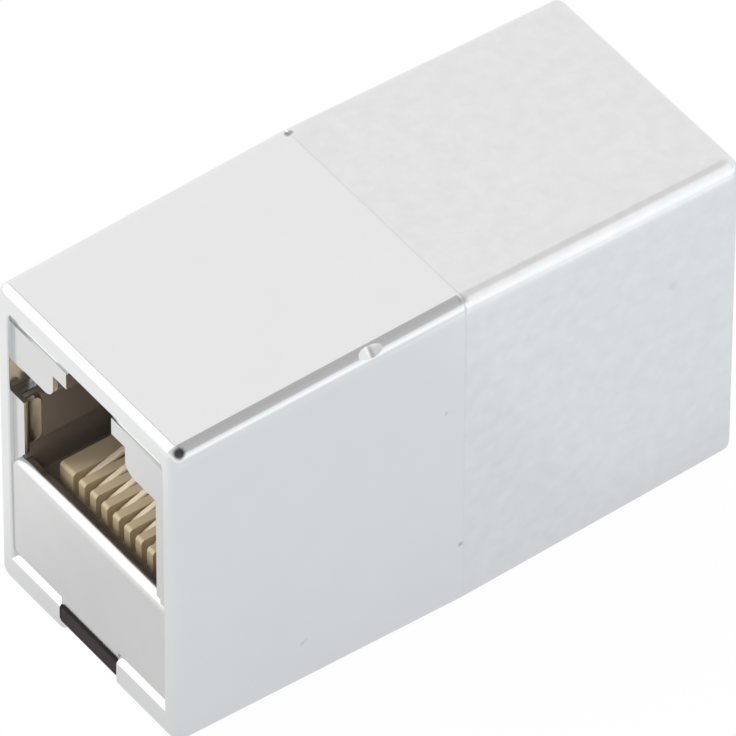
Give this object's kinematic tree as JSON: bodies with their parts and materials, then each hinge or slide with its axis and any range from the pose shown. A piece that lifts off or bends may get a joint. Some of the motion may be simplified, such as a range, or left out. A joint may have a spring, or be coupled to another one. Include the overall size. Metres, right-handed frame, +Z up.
{
  "type": "rj45 inline coupler",
  "caption": "Shielded inline coupler with an eight-contact modular jack at each end, joining two network patch cords.",
  "frame": {"origin": "centre of the bounding box, on its bottom plane", "axes": "+X along the length from the front port to the rear port, +Y across the width, +Z up"},
  "size_m": [0.0368, 0.0164, 0.0225],
  "materials": {
    "plated_shell": "satin",
    "jack_shield": "satin",
    "insulator": "matte",
    "contact_carrier": "matte",
    "black_tray": "satin",
    "board": "satin",
    "gold_contact": "polished"
  },
  "bodies": {
    "root": {"front_shell": "plated_shell", "rear_shell": "plated_shell", "board_tray": "black_tray", "circuit_board": "board", "front_jack_shield": "jack_shield", "rear_jack_shield": "jack_shield", "front_jack_insulator": "insulator", "rear_jack_insulator": "insulator", "front_contact_carrier": "contact_carrier", "rear_contact_carrier": "contact_carrier", "front_contact_1": "gold_contact", "front_contact_2": "gold_contact", "front_contact_3": "gold_contact", "front_contact_4": "gold_contact", "front_contact_5": "gold_contact", "front_contact_6": "gold_contact", "front_contact_7": "gold_contact", "front_contact_8": "gold_contact", "rear_contact_1": "gold_contact", "rear_contact_2": "gold_contact", "rear_contact_3": "gold_contact", "rear_contact_4": "gold_contact", "rear_contact_5": "gold_contact", "rear_contact_6": "gold_contact", "rear_contact_7": "gold_contact", "rear_contact_8": "gold_contact"}
  },
  "joints": []
}
